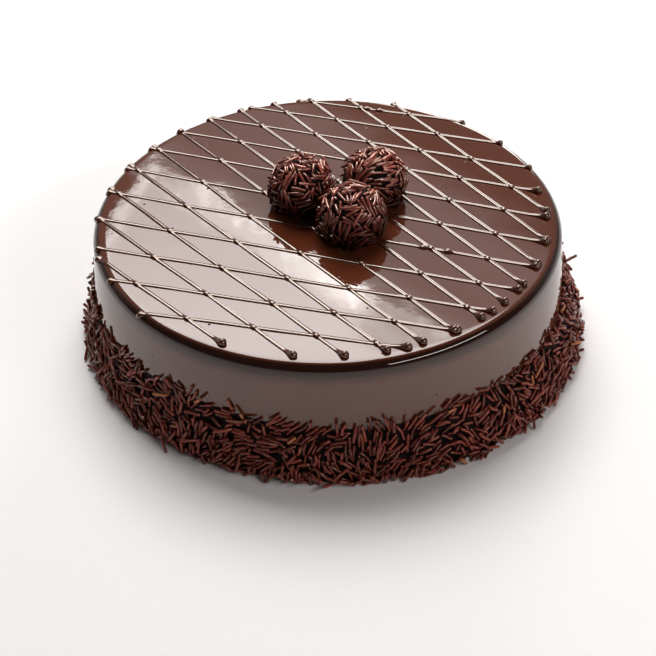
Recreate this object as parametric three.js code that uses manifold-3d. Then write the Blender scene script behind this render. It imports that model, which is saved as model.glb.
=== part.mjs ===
// A round chocolate cake, uncut: a mirror-glazed drum with a lattice of piped chocolate lines on top,
// a collar of chocolate sprinkles round its foot, and three sprinkle-coated truffles near the middle.
// Millimetres, +Z up. The origin is the centre of the flat base. -Y is the front.

import * as THREE from 'three';
import { mergeVertices } from 'three/addons/utils/BufferGeometryUtils.js';
import Module from 'manifold-3d';

// The glazed drum: its side leans out a little towards the foot, and a round shoulder meets the flat top.
const CAKE_HEIGHT = 63;
const TOP_RADIUS = 120.5;
const FOOT_RADIUS = 126;
const SHOULDER_RADIUS = 5;
const SHOULDER_STEPS = 4;
const TURN_STEPS = 72;

// The bank of sprinkles pressed against the foot. It thins out to nothing at its wavy upper edge, and
// it has slumped outwards at the front right.
const COLLAR_HEIGHT = 29.5;
const COLLAR_WAVE = 3;
const COLLAR_RIPPLE = 1.2;
const COLLAR_THICKNESS = 4;
const COLLAR_SLUMP = 6.5;
const SLUMP_AZIMUTH = THREE.MathUtils.degToRad(-40);
const COLLAR_STEPS = 4;
const COLLAR_SPRINKLES = 96;

// One sprinkle: a short straight rod.
const SPRINKLE_RADIUS = 0.95;
const SPRINKLE_SIDES = 5;
const SPRINKLE_SHORTEST = 6;
const SPRINKLE_LONGEST = 10;
const SPRINKLE_STAND = 0.28;
const SPRINKLE_LEAN = 0.3;

// Piped lines: low ridges, with a small knot where the pipe set down and a drop where it lifted off.
const LINE_WIDTH = 1.8;
const LINE_HEIGHT = 1;
const LINE_SUNK = 1.2;
const KNOT_RADIUS = 1.8;
const DROP_RADIUS = 2.4;
const KNOT_FROM_AXIS = 118.6;
const DROP_FROM_AXIS = 114.2;

// Each set of lines runs from the back left to the front right, spaced by hand: the gap between lines
// drifts over the set and crowds towards the rim, and the lines' angle fans and bows. A line's offset
// is its distance from the axis, growing to the back right. The steep lines were piped last, on top.
const STEEP_LINES = {
  count: 12,
  middle: -3.7,
  spacing: 18.2,
  drift: -0.07,
  crowding: 0,
  angle: -53,
  fan: -0.048,
  bow: 0.0001,
  lift: 0.3,
};
const SHALLOW_LINES = {
  count: 11,
  middle: 9.7,
  spacing: 22.5,
  drift: -0.14,
  crowding: 0.079,
  angle: -18.9,
  fan: -0.022,
  bow: 0.0004,
  lift: 0,
};

// Truffles: slightly lumpy balls, coated all over, that have settled on a wide flat base.
const TRUFFLE_RADIUS = 16.4;
const TRUFFLE_LUMP = 0.35;
const TRUFFLE_DETAIL = 3;
const TRUFFLE_MIDDLE_HEIGHT = 10;
const TRUFFLE_SPRINKLES = 40;
const TRUFFLES = {
  truffle_left: { x: -13.2, y: 11 },
  truffle_right: { x: 24.3, y: 15.8 },
  truffle_front: { x: 12.1, y: -16.1 },
};

// The lines stop short under a truffle, and touching pieces keep a narrow gap. On a truffle, a
// sprinkle keeps clear of the neighbouring truffles and of the lines.
const BARE_SPOT_RADIUS = 15;
const GAP = 0.3;
const NEIGHBOUR_CLEARANCE = 2.75;

const GOLDEN_RATIO = (Math.sqrt(5) - 1) / 2;
const GLAZE_COLOUR = 0x4a2822;
const TRUFFLE_COLOUR = 0x3c1c15;
const UP = new THREE.Vector3(0, 0, 1);

const wasm = await Module();
wasm.setup();

// A repeatable random number between 0 and 1.
function seededRandom(seed) {
  let state = seed;
  return () => {
    state = (state + 0x6d2b79f5) | 0;
    let mixed = Math.imul(state ^ (state >>> 15), 1 | state);
    mixed = (mixed + Math.imul(mixed ^ (mixed >>> 7), 61 | mixed)) ^ mixed;
    return ((mixed ^ (mixed >>> 14)) >>> 0) / 4294967296;
  };
}

function mix(low, high, share) {
  return low + (high - low) * share;
}

// Turns a closed geometry into a solid: only positions, shared vertices merged, no flat slivers.
function toSolid(geometry) {
  const plain = geometry.clone();
  plain.deleteAttribute('normal');
  plain.deleteAttribute('uv');
  const merged = mergeVertices(plain, 1e-4);
  const corners = merged.index.array;
  const kept = [];
  for (let i = 0; i < corners.length; i += 3) {
    const [a, b, c] = [corners[i], corners[i + 1], corners[i + 2]];
    if (a !== b && b !== c && c !== a) {
      kept.push(a, b, c);
    }
  }
  const vertProperties = Float32Array.from(merged.attributes.position.array);
  const triVerts = Uint32Array.from(kept);
  return new wasm.Manifold(new wasm.Mesh({ numProp: 3, vertProperties, triVerts }));
}

function toGeometry(solid) {
  const mesh = solid.getMesh();
  const geometry = new THREE.BufferGeometry();
  geometry.setAttribute('position', new THREE.BufferAttribute(Float32Array.from(mesh.vertProperties), 3));
  geometry.setIndex(new THREE.BufferAttribute(Uint32Array.from(mesh.triVerts), 1));
  geometry.computeVertexNormals();
  return geometry;
}

// Joins many small solids in pairs, which keeps each step small.
function joinAll(solids) {
  let level = solids;
  while (level.length > 1) {
    const next = [];
    for (let i = 0; i < level.length; i += 2) {
      next.push(i + 1 < level.length ? level[i].add(level[i + 1]) : level[i]);
    }
    level = next;
  }
  return level[0];
}

function sideRadius(z) {
  return mix(FOOT_RADIUS, TOP_RADIUS, z / (CAKE_HEIGHT - SHOULDER_RADIUS));
}

// The height of the collar's upper edge, by the direction round the axis.
function collarHeight(azimuth) {
  const wave = COLLAR_WAVE * Math.cos(2 * (azimuth - SLUMP_AZIMUTH));
  return COLLAR_HEIGHT - wave + COLLAR_RIPPLE * Math.sin(5 * azimuth);
}

// The collar is fullest just above the base and meets the side at its upper edge.
function collarRadius(azimuth, z) {
  const share = THREE.MathUtils.clamp(z / collarHeight(azimuth), 0, 1);
  const slump = COLLAR_SLUMP * ((1 + Math.cos(azimuth - SLUMP_AZIMUTH)) / 2) ** 3;
  const fullness = (1 - share * share) ** 0.75 * mix(0.85, 1, Math.min(1, 4 * share));
  return sideRadius(z) + (COLLAR_THICKNESS + slump) * fullness;
}

// How far the glaze has dropped below the flat top at a distance from the axis.
function topHeight(radius) {
  const past = Math.max(0, radius - (TOP_RADIUS - SHOULDER_RADIUS));
  return CAKE_HEIGHT - SHOULDER_RADIUS + Math.sqrt(Math.max(0, SHOULDER_RADIUS ** 2 - past ** 2));
}

function makeDrum() {
  const outline = [new THREE.Vector2(0, 0)];
  for (let i = 0; i <= COLLAR_STEPS; i += 1) {
    outline.push(new THREE.Vector2(FOOT_RADIUS, (COLLAR_HEIGHT * i) / COLLAR_STEPS));
  }
  for (let i = 0; i <= SHOULDER_STEPS; i += 1) {
    const turn = (Math.PI / 2) * (i / SHOULDER_STEPS);
    const radius = TOP_RADIUS - SHOULDER_RADIUS + SHOULDER_RADIUS * Math.cos(turn);
    outline.push(new THREE.Vector2(radius, CAKE_HEIGHT - SHOULDER_RADIUS + SHOULDER_RADIUS * Math.sin(turn)));
  }
  outline.push(new THREE.Vector2(0, CAKE_HEIGHT));
  const drum = new THREE.LatheGeometry(outline, TURN_STEPS);
  drum.rotateX(Math.PI / 2);
  shapeCollar(drum.attributes.position);
  return toSolid(drum);
}

// Moves the collar's rings from a plain cylinder out to the bank's uneven surface.
function shapeCollar(corners) {
  for (let i = 0; i < corners.count; i += 1) {
    const [x, y, z] = [corners.getX(i), corners.getY(i), corners.getZ(i)];
    if (z < COLLAR_HEIGHT + GAP && Math.hypot(x, y) > FOOT_RADIUS / 2) {
      const azimuth = Math.atan2(y, x);
      const height = (z / COLLAR_HEIGHT) * collarHeight(azimuth);
      const radius = collarRadius(azimuth, height);
      corners.setXYZ(i, radius * Math.cos(azimuth), radius * Math.sin(azimuth), height);
    }
  }
}

// The two ends of line number i of a set: where it was set down, and where the pipe lifted off.
function lineEnds(set, i) {
  const step = i - (set.count - 1) / 2;
  const offset = set.middle + set.spacing * step + set.drift * step ** 2 - set.crowding * step ** 3;
  const angle = THREE.MathUtils.degToRad(set.angle + set.fan * offset + set.bow * offset ** 2);
  const along = new THREE.Vector3(Math.cos(angle), Math.sin(angle), 0);
  const nearest = new THREE.Vector3(-Math.sin(angle), Math.cos(angle), 0).multiplyScalar(offset);
  const ends = [];
  for (const [side, radius] of [[-1, KNOT_FROM_AXIS], [1, DROP_FROM_AXIS]]) {
    const reach = Math.sqrt(radius ** 2 - offset ** 2);
    const end = nearest.clone().addScaledVector(along, side * reach);
    end.z = topHeight(radius);
    ends.push(end);
  }
  return ends;
}

// A bar with the given section, laid along a direction with the section's own Y axis upwards.
function layBar(section, length, middle, direction) {
  const bar = new THREE.ExtrudeGeometry(section, { depth: length, steps: 1, bevelEnabled: false });
  bar.translate(0, 0, -length / 2);
  const side = new THREE.Vector3().crossVectors(UP, direction).normalize();
  const top = new THREE.Vector3().crossVectors(direction, side);
  bar.applyMatrix4(new THREE.Matrix4().makeBasis(side, top, direction).setPosition(middle));
  return toSolid(bar);
}

function polygon(corners) {
  return new THREE.Shape(corners.map(([x, y]) => new THREE.Vector2(x, y)));
}

const LINE_SLOPE = (LINE_HEIGHT + LINE_SUNK) / LINE_HEIGHT;
const LINE_SECTION = polygon([
  [(-LINE_WIDTH / 2) * LINE_SLOPE, -LINE_SUNK],
  [(LINE_WIDTH / 2) * LINE_SLOPE, -LINE_SUNK],
  [0, LINE_HEIGHT],
]);

const SPRINKLE_SECTION = polygon(Array.from({ length: SPRINKLE_SIDES }, (_, corner) => {
  const turn = (2 * Math.PI * corner) / SPRINKLE_SIDES;
  return [SPRINKLE_RADIUS * Math.cos(turn), SPRINKLE_RADIUS * Math.sin(turn)];
}));

// A piped line: a ridge along its path, with a blob at each end.
function makeLine(set, i) {
  const [knotPlace, dropPlace] = lineEnds(set, i);
  const knot = new THREE.OctahedronGeometry(KNOT_RADIUS, 0);
  knot.translate(...knotPlace);
  const drop = new THREE.OctahedronGeometry(DROP_RADIUS, 1);
  drop.translate(...dropPlace);
  const start = knotPlace.clone().setZ(CAKE_HEIGHT + set.lift);
  const stop = dropPlace.clone().setZ(CAKE_HEIGHT + set.lift);
  const direction = stop.clone().sub(start).normalize();
  const ridge = layBar(LINE_SECTION, start.distanceTo(stop), start.clone().lerp(stop, 0.5), direction);
  return joinAll([ridge, toSolid(knot), toSolid(drop)]);
}

function makeLattice() {
  const lines = [];
  for (const set of [STEEP_LINES, SHALLOW_LINES]) {
    for (let i = 0; i < set.count; i += 1) {
      lines.push(makeLine(set, i));
    }
  }
  const spots = Object.values(TRUFFLES).map(({ x, y }) => {
    const spot = new THREE.CylinderGeometry(BARE_SPOT_RADIUS, BARE_SPOT_RADIUS, 8 * LINE_HEIGHT, 16);
    spot.rotateX(Math.PI / 2);
    spot.translate(x, y, CAKE_HEIGHT);
    return toSolid(spot);
  });
  return joinAll(lines).subtract(joinAll(spots));
}

// Sprinkles are laid evenly round the collar by the golden ratio, each at a chance angle.
function makeCollarSprinkles() {
  const random = seededRandom(7);
  const bars = [];
  for (let i = 0; i < COLLAR_SPRINKLES; i += 1) {
    const azimuth = (2 * Math.PI * i) / COLLAR_SPRINKLES;
    const length = mix(SPRINKLE_SHORTEST, SPRINKLE_LONGEST, random());
    const z = mix(length / 2 + SPRINKLE_RADIUS, collarHeight(azimuth), (i * GOLDEN_RATIO) % 1);
    const outward = new THREE.Vector3(Math.cos(azimuth), Math.sin(azimuth), 0);
    const around = new THREE.Vector3(-Math.sin(azimuth), Math.cos(azimuth), 0);
    const slope = (collarRadius(azimuth, z + 1) - collarRadius(azimuth, z - 1)) / 2;
    const uphill = outward.clone().multiplyScalar(slope).add(UP).normalize();
    const swing = Math.PI * random();
    const lean = mix(-SPRINKLE_LEAN, SPRINKLE_LEAN, random());
    const direction = around.multiplyScalar(Math.cos(swing));
    direction.addScaledVector(uphill, Math.sin(swing)).addScaledVector(outward, lean).normalize();
    const place = outward.multiplyScalar(collarRadius(azimuth, z) + SPRINKLE_STAND);
    place.z = z;
    bars.push(layBar(SPRINKLE_SECTION, length, place, direction));
  }
  return bars;
}

function makeGlazedCake() {
  return makeDrum().add(makeLattice()).add(joinAll(makeCollarSprinkles()));
}

// A truffle's surface is uneven by a few tenths of a millimetre, each truffle in its own way.
function lumpiness(direction, phase) {
  const a = Math.sin(3.1 * direction.x + phase) * Math.cos(2.3 * direction.y - phase);
  const b = Math.sin(4.3 * direction.z + 2 * phase) * Math.cos(3.7 * direction.x);
  return TRUFFLE_LUMP * (a + b);
}

function makeTruffleBall(centre, number) {
  const ball = new THREE.IcosahedronGeometry(TRUFFLE_RADIUS, TRUFFLE_DETAIL);
  const corners = ball.attributes.position;
  const corner = new THREE.Vector3();
  for (let i = 0; i < corners.count; i += 1) {
    corner.fromBufferAttribute(corners, i);
    const direction = corner.clone().normalize();
    corner.addScaledVector(direction, lumpiness(direction, number));
    corner.add(centre);
    corner.z = Math.max(corner.z, CAKE_HEIGHT + GAP);
    corners.setXYZ(i, corner.x, corner.y, corner.z);
  }
  return toSolid(ball);
}

// Sprinkles are laid evenly over a truffle on a golden spiral, each at a chance angle.
function makeTruffleSprinkles(centre, number, others) {
  const random = seededRandom(40 + number);
  const clear = TRUFFLE_RADIUS + NEIGHBOUR_CLEARANCE + TRUFFLE_LUMP;
  const lowest = CAKE_HEIGHT + LINE_HEIGHT + STEEP_LINES.lift + SPRINKLE_RADIUS + GAP;
  const bars = [];
  for (let i = 0; i < TRUFFLE_SPRINKLES; i += 1) {
    const height = 1 - (2 * (i + 0.5)) / TRUFFLE_SPRINKLES;
    const ring = Math.sqrt(1 - height * height);
    const turn = 2 * Math.PI * i * GOLDEN_RATIO;
    const outward = new THREE.Vector3(ring * Math.cos(turn), ring * Math.sin(turn), height);
    const swing = Math.PI * random();
    const length = mix(SPRINKLE_SHORTEST, SPRINKLE_LONGEST, random());
    const direction = new THREE.Vector3(-outward.y, outward.x, 0).normalize();
    direction.applyAxisAngle(outward, swing);
    const seat = TRUFFLE_RADIUS + lumpiness(outward, number) + SPRINKLE_STAND;
    const place = centre.clone().addScaledVector(outward, seat);
    const spots = [-0.5, 0, 0.5].map((share) => place.clone().addScaledVector(direction, share * length));
    const isClear = (spot) => spot.z > lowest && others.every((other) => spot.distanceTo(other) > clear);
    if (spots.every(isClear)) {
      bars.push(layBar(SPRINKLE_SECTION, length, place, direction));
    }
  }
  return bars;
}

function truffleCentre({ x, y }) {
  return new THREE.Vector3(x, y, CAKE_HEIGHT + TRUFFLE_MIDDLE_HEIGHT);
}

function makeTruffle(name, number) {
  const centre = truffleCentre(TRUFFLES[name]);
  const otherNames = Object.keys(TRUFFLES).filter((other) => other !== name);
  const others = otherNames.map((other) => truffleCentre(TRUFFLES[other]));
  const sprinkles = makeTruffleSprinkles(centre, number, others);
  return makeTruffleBall(centre, number).add(joinAll(sprinkles));
}

const group = new THREE.Group();

function addPiece(name, solid, colour, roughness) {
  const material = new THREE.MeshStandardMaterial({ color: colour, roughness, metalness: 0 });
  const piece = new THREE.Mesh(toGeometry(solid), material);
  piece.name = name;
  group.add(piece);
}

addPiece('glazed_cake', makeGlazedCake(), GLAZE_COLOUR, 0.1);
Object.keys(TRUFFLES).forEach((name, number) => {
  addPiece(name, makeTruffle(name, number + 1), TRUFFLE_COLOUR, 0.4);
});

export default group;
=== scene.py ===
# %% [markdown]
# # A chocolate truffle cake
#
# A round cake under a mirror glaze of dark chocolate. Two families of piped chocolate
# lines cross on its flat top, chocolate sprinkles bank up round its foot, and three
# truffles rolled in glossier ones sit together in the middle.
#
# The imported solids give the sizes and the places. This file gives the cake its look:
# each solid is stood for by finer pieces that are made in the same place.

import math

import bmesh
import bpy
import numpy as np
from mathutils import Matrix, Vector


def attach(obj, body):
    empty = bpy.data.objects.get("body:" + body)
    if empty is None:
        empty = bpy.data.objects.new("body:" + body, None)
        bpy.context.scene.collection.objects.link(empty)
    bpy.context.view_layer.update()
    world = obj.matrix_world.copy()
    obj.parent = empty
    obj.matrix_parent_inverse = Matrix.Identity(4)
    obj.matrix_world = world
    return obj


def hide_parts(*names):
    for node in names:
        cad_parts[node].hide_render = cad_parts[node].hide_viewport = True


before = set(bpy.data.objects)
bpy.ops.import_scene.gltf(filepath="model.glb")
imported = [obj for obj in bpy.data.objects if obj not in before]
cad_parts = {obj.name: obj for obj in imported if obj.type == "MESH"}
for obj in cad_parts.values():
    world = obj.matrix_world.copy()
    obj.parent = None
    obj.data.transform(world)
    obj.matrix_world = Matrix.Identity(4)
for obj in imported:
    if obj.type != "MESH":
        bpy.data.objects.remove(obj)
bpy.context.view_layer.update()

# %% [markdown]
# ## The camera
#
# The cake is seen from the front and from well above, as by somebody who stands at the
# table. The place and the lens come from fitting the cake's round outlines, so that every
# piece falls where the eye expects it.

# %% Camera
MM = 0.001
LENS_LENGTH = 76.83
CAMERA_PLACE = Vector((0.0, -596.28, 475.11)) * MM
LOOK_DOWN = math.radians(39.254)
LOOK_ASIDE = math.radians(-0.0666)
HEAD_TILT = math.radians(-1.0231)

ahead = Vector((
    math.sin(LOOK_ASIDE) * math.cos(LOOK_DOWN),
    math.cos(LOOK_ASIDE) * math.cos(LOOK_DOWN),
    -math.sin(LOOK_DOWN),
))
level_right = ahead.cross(Vector((0, 0, 1))).normalized()
level_up = level_right.cross(ahead)
right = level_right * math.cos(HEAD_TILT) + level_up * math.sin(HEAD_TILT)
up = level_up * math.cos(HEAD_TILT) - level_right * math.sin(HEAD_TILT)

camera = bpy.data.objects.new("camera", bpy.data.cameras.new("camera"))
camera.data.lens = LENS_LENGTH
camera.data.clip_start = 0.02
camera.matrix_world = Matrix.Translation(CAMERA_PLACE) @ Matrix((right, up, -ahead)).transposed().to_4x4()
bpy.context.scene.collection.objects.link(camera)
bpy.context.scene.camera = camera
print("camera is", round(CAMERA_PLACE.length, 3), "m from the middle of the cake's base")

# %% [markdown]
# ## The light
#
# A mirror glaze shows its surroundings, so the lights are half of its look. A large window
# behind the cake, up to the left, lies on the top of the glaze as a pale field with a
# slanting edge, and a pale wall fades away below it. A low light behind the cake brightens
# the far flank of each piped line. A long lamp at the front right draws the bright line
# under the rim and the small glints on the drops. The ceiling is left dim, because that is
# what keeps the rest of the glaze brown, and the horizon is pale.

# %% A helper for every node tree
def put(tree, kind, inputs=None, out=0, **settings):
    """Adds a node with its settings and inputs, and returns one of its outputs."""
    node = tree.nodes.new(kind)
    for name, value in settings.items():
        setattr(node, name, value)
    for key, value in (inputs or {}).items():
        if isinstance(value, bpy.types.NodeSocket):
            tree.links.new(value, node.inputs[key])
        else:
            node.inputs[key].default_value = value
    return node.outputs[out] if len(node.outputs) else node


def calc(tree, operation, *values):
    """A sum, a product or another calculation on numbers and outputs."""
    return put(tree, "ShaderNodeMath", dict(enumerate(values)), operation=operation)


def part_of(tree, vector, letter):
    """The X, Y or Z of a vector."""
    return put(tree, "ShaderNodeSeparateXYZ", {0: vector}, out=letter)


def blend(tree, value, low, high, start, stop):
    """A number that goes smoothly from start to stop while the value goes from low to high."""
    return put(tree, "ShaderNodeMapRange", {
        "Value": value, "From Min": low, "From Max": high, "To Min": start, "To Max": stop,
    }, interpolation_type="SMOOTHSTEP")


# %% Softboxes
WARM_WHITE = (1.0, 0.965, 0.93)


def toward(azimuth, elevation):
    """The way from the cake to a light: azimuth 0 is straight behind it, 90 is its right."""
    a, e = math.radians(azimuth), math.radians(elevation)
    return Vector((math.sin(a) * math.cos(e), math.cos(a) * math.cos(e), math.sin(e)))


def softbox(name, facing, distance, shift, slant, size, brightness, pattern=None):
    """A rectangular light square to one direction, shifted and slanted in its own plane.

    A pattern takes the metres from the light's left end and from its lower edge, and gives
    how bright the light is there.
    """
    sideways = facing.cross(Vector((0, 0, 1))).normalized()
    upward = sideways.cross(facing)
    edge = sideways * math.cos(slant) + upward * math.sin(slant)
    light = bpy.data.lights.new(name, "AREA")
    light.shape = "RECTANGLE"
    light.size, light.size_y = size
    light.energy = brightness * math.pi * size[0] * size[1]
    light.color = WARM_WHITE
    if pattern:
        light.use_nodes = True
        tree = light.node_tree
        tree.nodes.clear()
        spot = put(tree, "ShaderNodeTexCoord", out="UV")
        across = calc(tree, "MULTIPLY", part_of(tree, spot, "X"), size[0])
        above = calc(tree, "MULTIPLY_ADD", part_of(tree, spot, "Y"), -size[1], size[1])
        glow = put(tree, "ShaderNodeEmission", {"Strength": pattern(tree, across, above)})
        put(tree, "ShaderNodeOutputLight", {"Surface": glow})
    box = bpy.data.objects.new(name, light)
    place = facing * distance + sideways * shift[0] + upward * shift[1]
    box.matrix_world = (
        Matrix.Translation(place) @ Matrix((edge, facing.cross(edge), facing)).transposed().to_4x4()
    )
    bpy.context.scene.collection.objects.link(box)


# %% [markdown]
# ## The window
#
# What the glaze mirrors is a window with an uneven face: brighter higher up, with ragged
# bright patches along its lower edge. An area light's own nodes can paint that. Its UV runs
# along the light, so brightness is worked out in metres from its left end and lower edge.

# %% The window and the pale wall below it
WINDOW_SLANT = math.radians(41.4)
WINDOW_CORNER = Vector((0.0, -0.573))
WINDOW_FACING, WINDOW_DISTANCE = toward(-14, 46), 2.0
WINDOW_LEFT, WINDOW_LENGTH, WINDOW_DEPTH = 0.12, 1.25, 1.15
LOW_RISE, LOW_GLOW, HIGH_RISE, HIGH_GLOW = 0.16, 5.2, 0.48, 9.4
DIM_CORNER, DIM_RIGHT = 0.25, 0.3
LEFT_SIDE, LEFT_CORNER, RIGHT_END = (0.0, 0.03), (0.0, 0.13), (0.47, 0.55)
LOW_STRIP, RIGHT_STRIP, STREAK_STRIP = (0.02, 0.07), (0.02, 0.13), (0.03, 0.07)
LEFT_STREAK, STREAK_STARTS, STREAK_ENDS = (0.012, 0.034), (0.3, 0.42), (0.48, 0.54)
PATCH_SCALE, PATCH_EDGE, RARER_UPWARDS = 26.0, (0.485, 0.495), -2.0
PATCH_GLOW, END_GLOW, STREAK_GLOW = 4.5, 5.5, 4.0
WALL_OVERLAP, WALL_DEPTH, WALL_ASIDE, WALL_BEHIND = 0.06, 0.42, -0.08, 0.02
WALL_FADE, WALL_HALO, WALL_LEFT = (0.03, 0.16), (0.29, 0.38), (0.0, 0.5)


def along_window(along, away):
    """A place in the window's plane: along its lower edge, and away from that edge, in metres."""
    edge = Vector((math.cos(WINDOW_SLANT), math.sin(WINDOW_SLANT)))
    beside = Vector((-math.sin(WINDOW_SLANT), math.cos(WINDOW_SLANT)))
    return WINDOW_CORNER + edge * along + beside * away


def window_pattern(tree, across, above):
    """Brighter higher up and dimmer at both ends of the lower edge, with ragged patches near
    that edge, a bright left end and a streak along the edge.
    """
    tilted = calc(tree, "MULTIPLY_ADD", across, math.sin(WINDOW_SLANT), WINDOW_LEFT * math.sin(WINDOW_SLANT))
    rise = calc(tree, "MULTIPLY_ADD", above, math.cos(WINDOW_SLANT), tilted)
    field = put(tree, "ShaderNodeMapRange", {
        "Value": rise, "From Min": LOW_RISE, "From Max": HIGH_RISE, "To Min": LOW_GLOW, "To Max": HIGH_GLOW,
    })
    right_end = blend(tree, above, *RIGHT_STRIP, blend(tree, across, *RIGHT_END, 1.0, DIM_RIGHT), 1.0)
    left_corner = blend(tree, above, *LOW_STRIP, blend(tree, across, *LEFT_CORNER, DIM_CORNER, 1.0), 1.0)
    for part in (right_end, left_corner, blend(tree, across, *LEFT_SIDE, 0.0, 1.0)):
        field = calc(tree, "MULTIPLY", field, part)
    spot = put(tree, "ShaderNodeCombineXYZ", {"X": across, "Y": above})
    cloud = put(tree, "ShaderNodeTexNoise", {
        "Vector": spot, "Scale": PATCH_SCALE, "Detail": 8.0, "Roughness": 0.78,
    }, out=0)
    rarer = calc(tree, "MULTIPLY_ADD", above, RARER_UPWARDS, cloud)
    patches = blend(tree, rarer, *PATCH_EDGE, 0.0, PATCH_GLOW)
    left_end = blend(tree, across, *LEFT_STREAK, END_GLOW, 0.0)
    field = calc(tree, "ADD", field, calc(tree, "MAXIMUM", patches, left_end))
    begun = blend(tree, across, *STREAK_STARTS, 0.0, STREAK_GLOW)
    streak = blend(tree, across, *STREAK_ENDS, begun, 0.0)
    return calc(tree, "ADD", field, blend(tree, above, *STREAK_STRIP, streak, 0.0))


def wall_pattern(tree, across, above):
    """Brightest just below the window's edge, fading out downwards and to the left."""
    wall = blend(tree, above, *WALL_FADE, 0.0, 1.0)
    halo = blend(tree, above, *WALL_HALO, 0.0, 1.0)
    return calc(tree, "MULTIPLY", calc(tree, "ADD", wall, halo), blend(tree, across, *WALL_LEFT, 0.5, 1.0))


middle = along_window(WINDOW_LEFT + WINDOW_LENGTH / 2, WINDOW_DEPTH / 2)
window_size = (WINDOW_LENGTH, WINDOW_DEPTH)
softbox("window", WINDOW_FACING, WINDOW_DISTANCE, middle, WINDOW_SLANT, window_size, 1.0, window_pattern)
middle = along_window(WINDOW_LEFT + WALL_ASIDE + WINDOW_LENGTH / 2, WALL_OVERLAP - WALL_DEPTH / 2)
wall_size, wall_distance = (WINDOW_LENGTH, WALL_DEPTH), WINDOW_DISTANCE + WALL_BEHIND
softbox("window_glow", WINDOW_FACING, wall_distance, middle, WINDOW_SLANT, wall_size, 1.0, wall_pattern)

# %% [markdown]
# ## The other lights
#
# The low light behind needs soft sides, or its reflection would end in a hard line on every
# bead. The lamp at the front right stays hard, because the line that it draws under the rim
# is crisp.

# %% The low light behind, and the lamp at the front right
BEHIND_SIZE, LAMP_SIZE = (0.7, 0.8), (1.5, 0.18)
FEATHER = 0.15


def feathered(size, brightness):
    """An even light that fades over its outer parts on all four sides."""
    def pattern(tree, across, above):
        glow = brightness
        for place, length in ((across, size[0]), (above, size[1])):
            for side, inside in ((0.0, FEATHER * length), (length, (1 - FEATHER) * length)):
                glow = calc(tree, "MULTIPLY", glow, blend(tree, place, side, inside, 0.0, 1.0))
        return glow
    return pattern


softbox("low_behind", toward(13, 15), 2.2, (0, 0), 0.0, BEHIND_SIZE, 1.0, feathered(BEHIND_SIZE, 9.0))
softbox("front_right", toward(128, 36), 2.0, (0, 0), 0.0, LAMP_SIZE, 14.0)

# %% Ceiling and horizon
HORIZON_LIGHT, RIGHT_LIGHT, WALL_LIGHT, FRONT_LIGHT = 0.9, 0.4, 0.3, 0.05
TO_THE_RIGHT, SKYLINE, TO_THE_BACK = (0.3, 0.9), (0.02, 0.14), (0.1, 0.5)

world = bpy.data.worlds.new("studio")
bpy.context.scene.world = world
world.use_nodes = True
tree = world.node_tree
tree.nodes.clear()
direction = put(tree, "ShaderNodeTexCoord", out="Generated")
horizon = blend(tree, part_of(tree, direction, "X"), *TO_THE_RIGHT, HORIZON_LIGHT, RIGHT_LIGHT)
low_part = blend(tree, part_of(tree, direction, "Z"), *SKYLINE, horizon, 0.0)
back_part = blend(tree, part_of(tree, direction, "Y"), *TO_THE_BACK, FRONT_LIGHT, WALL_LIGHT)
strength = calc(tree, "ADD", low_part, back_part)
glow = put(tree, "ShaderNodeBackground", {"Color": (1.0, 0.985, 0.97, 1.0), "Strength": strength})
put(tree, "ShaderNodeOutputWorld", {"Surface": glow})
bpy.context.scene.view_settings.view_transform = "Standard"

# %% [markdown]
# ## The floor
#
# A plain pale table, large enough to reach past every view. It lights the side of the cake
# from below, as the mirror glaze there looks down at it.

# %% Floor
def mesh_object(name, points, faces, edges=()):
    """A new object with this mesh, at the origin."""
    mesh = bpy.data.meshes.new(name)
    mesh.from_pydata([tuple(p) for p in points], list(edges), [tuple(f) for f in faces])
    mesh.validate()
    thing = bpy.data.objects.new(name, mesh)
    bpy.context.scene.collection.objects.link(thing)
    return thing


def material(name):
    """An empty node material and its tree."""
    made = bpy.data.materials.new(name)
    made.use_nodes = True
    made.node_tree.nodes.clear()
    return made, made.node_tree


FLOOR_REACH = 6.0
FLOOR_CORNERS = ((-1, -1), (1, -1), (1, 1), (-1, 1))
floor = mesh_object("floor", [(x * FLOOR_REACH, y * FLOOR_REACH, 0.0) for x, y in FLOOR_CORNERS], [(0, 1, 2, 3)])
table_white, tree = material("table_white")
shader = put(tree, "ShaderNodeBsdfPrincipled", {"Base Color": (0.94, 0.94, 0.955, 1.0), "Roughness": 0.7})
put(tree, "ShaderNodeOutputMaterial", {"Surface": shader})
floor.data.materials.append(table_white)

# %% [markdown]
# ## The glaze
#
# Poured glaze sets like a mirror, but never as flat as one: it is a little thicker here and
# there, so the window's reflection gets a wavy edge. The body is a turned shape, so a tree
# of nodes spins a profile round the axis, and then moves its points by a slow noise. A lathe
# in mesh code would do as well, but the tree keeps its sizes as named inputs.

# %% The turned profile
CAKE_HEIGHT = 63 * MM
TOP_RADIUS = 120.5 * MM
FOOT_RADIUS = 126 * MM
SHOULDER_RADIUS = 5 * MM
SIDE_TOP = CAKE_HEIGHT - SHOULDER_RADIUS
FLAT_RADIUS = TOP_RADIUS - SHOULDER_RADIUS


def side_radius(z):
    """The radius of the glaze at a height, below the shoulder."""
    return FOOT_RADIUS + (TOP_RADIUS - FOOT_RADIUS) * np.minimum(z, SIDE_TOP) / SIDE_TOP


def top_height(r):
    """The height of the glaze at a radius, on the top and over the shoulder."""
    return SIDE_TOP + np.sqrt(np.maximum(SHOULDER_RADIUS**2 - np.maximum(0, r - FLAT_RADIUS) ** 2, 0))


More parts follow.
